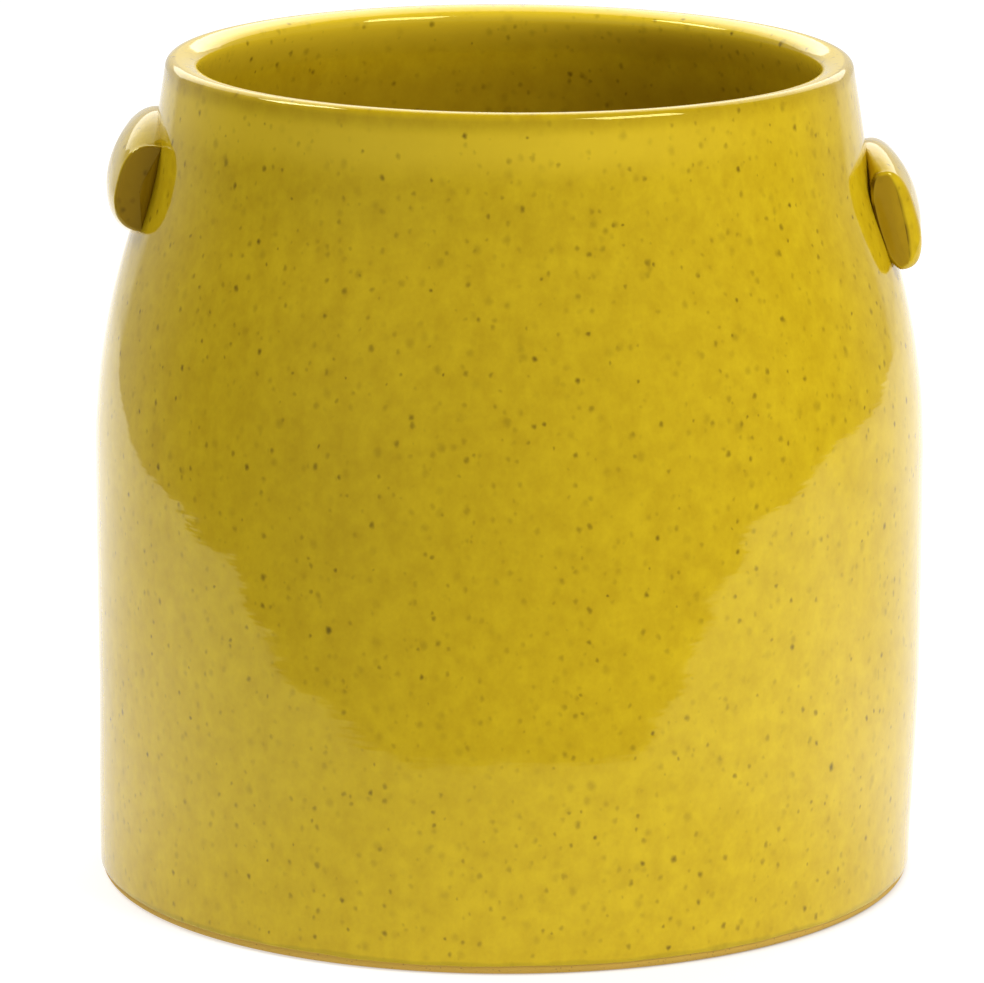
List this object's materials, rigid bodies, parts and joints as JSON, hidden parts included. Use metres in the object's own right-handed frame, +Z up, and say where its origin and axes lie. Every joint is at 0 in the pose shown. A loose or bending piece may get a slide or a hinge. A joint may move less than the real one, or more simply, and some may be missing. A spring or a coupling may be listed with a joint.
{
  "type": "flower pot",
  "caption": "Bulbous glazed stoneware flower pot for the floor, with a short waisted collar, a thick rounded lip, a flat foot ring and a lug handle on each side of the shoulder.",
  "frame": {"origin": "on the floor, under the centre of the pot", "axes": "+Z up along the pot's axis, +X towards the right lug, -Y towards the viewer"},
  "size_m": [0.267, 0.267, 0.265],
  "materials": {
    "stoneware": "bare fired clay, matt",
    "mustard_glaze": "glossy glaze with iron specks"
  },
  "bodies": {
    "root": {"base_slab": "stoneware", "wall": "stoneware", "corner_coil": "stoneware", "left_lug": "stoneware", "right_lug": "stoneware", "left_lug_coil": "stoneware", "right_lug_coil": "stoneware", "outer_glaze": "mustard_glaze", "inner_glaze": "mustard_glaze", "left_lug_glaze": "mustard_glaze", "right_lug_glaze": "mustard_glaze"}
  },
  "joints": []
}
